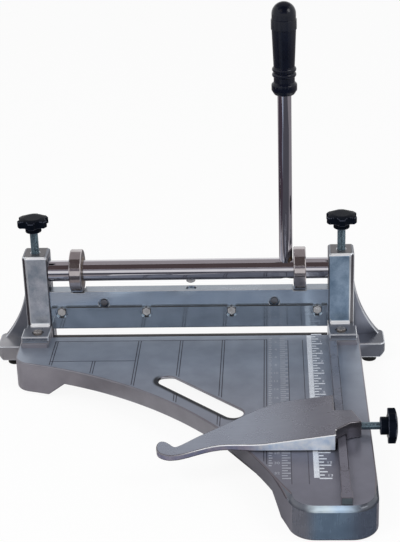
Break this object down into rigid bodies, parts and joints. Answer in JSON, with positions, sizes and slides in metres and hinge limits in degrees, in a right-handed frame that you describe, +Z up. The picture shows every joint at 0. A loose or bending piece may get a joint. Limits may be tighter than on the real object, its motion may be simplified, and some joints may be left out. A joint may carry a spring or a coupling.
{
  "type": "vinyl tile cutter",
  "caption": "Bench guillotine for vinyl tiles: swept cast table, side frames, lever-turned eccentric shaft pressing a sliding blade bar, and a clamped gauge on a rail.",
  "frame": {"origin": "on the floor under the middle of the whole cutter's box", "axes": "+X along the blade to the operator's right, +Y away from the operator, +Z up"},
  "size_m": [0.477, 0.429, 0.4472],
  "materials": {
    "table_cast": "satin cast table, machined top",
    "frame_cast": "brushed casting with polished edges",
    "gauge_cast": "satin casting with a polished face",
    "tool_steel": "black hardened strip",
    "blade_steel": "ground blade",
    "bar_steel": "brushed bar",
    "bright_steel": "bright drawn bar",
    "dark_steel": "blued steel",
    "roller_steel": "satin bearing steel",
    "spring_steel": "drawn spring wire",
    "zinc_plate": "zinc plated steel",
    "chrome_bar": "hard chrome bar",
    "bronze": "oiled bronze",
    "black_knob": "moulded black",
    "black_grip": "black moulded grip",
    "foot_rubber": "black rubber"
  },
  "bodies": {
    "base": {"table": "table_cast", "lower_blade": "tool_steel", "lower_blade_screws": "zinc_plate", "left_frame": "frame_cast", "right_frame": "frame_cast", "frame_bolts": "zinc_plate", "rear_bolts": "zinc_plate", "left_bearing_block": "dark_steel", "right_bearing_block": "dark_steel", "left_bush": "bronze", "right_bush": "bronze", "left_return_spring": "spring_steel", "right_return_spring": "spring_steel", "gauge_rail": "bright_steel", "rail_screws": "zinc_plate", "rail_stop": "dark_steel", "rubber_feet": "foot_rubber", "foot_screws": "zinc_plate"},
    "cam": {"cam_shaft": "chrome_bar", "left_roller_bush": "bronze", "right_roller_bush": "bronze", "handle_rod": "chrome_bar", "handle_grip": "black_grip", "shaft_button": "zinc_plate"},
    "left_roller": {"left_roller": "roller_steel"},
    "right_roller": {"right_roller": "roller_steel"},
    "blade": {"blade_bar": "bar_steel", "upper_blade": "blade_steel", "blade_bolts": "zinc_plate", "bar_screws": "zinc_plate"},
    "left_depth": {"left_depth_screw": "zinc_plate", "left_depth_knob": "black_knob"},
    "right_depth": {"right_depth_screw": "zinc_plate", "right_depth_knob": "black_knob"},
    "gauge": {"gauge_arm": "gauge_cast", "clamp_shoe": "bronze"},
    "clamp": {"clamp_screw": "zinc_plate", "clamp_knob": "black_knob"}
  },
  "joints": [
    {"name": "lever_pull", "type": "hinge", "parent": "base", "child": "cam", "pos_m": [0, 0.19317, 0.11703], "axis": [1, 0, 0], "range_deg": [0, 90]},
    {"name": "left_roller_spin", "type": "hinge", "parent": "cam", "child": "left_roller", "pos_m": [-0.135, 0.1885, 0.1217], "axis": [1, 0, 0], "continuous": true},
    {"name": "right_roller_spin", "type": "hinge", "parent": "cam", "child": "right_roller", "pos_m": [0.135, 0.1885, 0.1217], "axis": [1, 0, 0], "continuous": true},
    {"name": "blade_drop", "type": "slide", "parent": "base", "child": "blade", "axis": [0, 0, -1], "range_m": [0, 0.00933], "stiffness_N_per_m": 2500, "springref_m": -0.02, "deforming": ["left_return_spring", "right_return_spring"]},
    {"name": "left_depth_turn", "type": "hinge", "parent": "base", "child": "left_depth", "pos_m": [-0.1853, 0.19317, 0.151], "axis": [0, 0, 1], "continuous": true},
    {"name": "right_depth_turn", "type": "hinge", "parent": "base", "child": "right_depth", "pos_m": [0.1853, 0.19317, 0.151], "axis": [0, 0, 1], "continuous": true},
    {"name": "gauge_slide", "type": "slide", "parent": "base", "child": "gauge", "axis": [0, 1, 0], "range_m": [-0.085, 0.18]},
    {"name": "clamp_turn", "type": "hinge", "parent": "gauge", "child": "clamp", "pos_m": [0.205, -0.0675, 0.049], "axis": [1, 0, 0], "continuous": true}
  ],
  "couplings": [
    {"joint": "blade_drop", "follows": "lever_pull", "m_per_rad": 0.0059421}
  ]
}
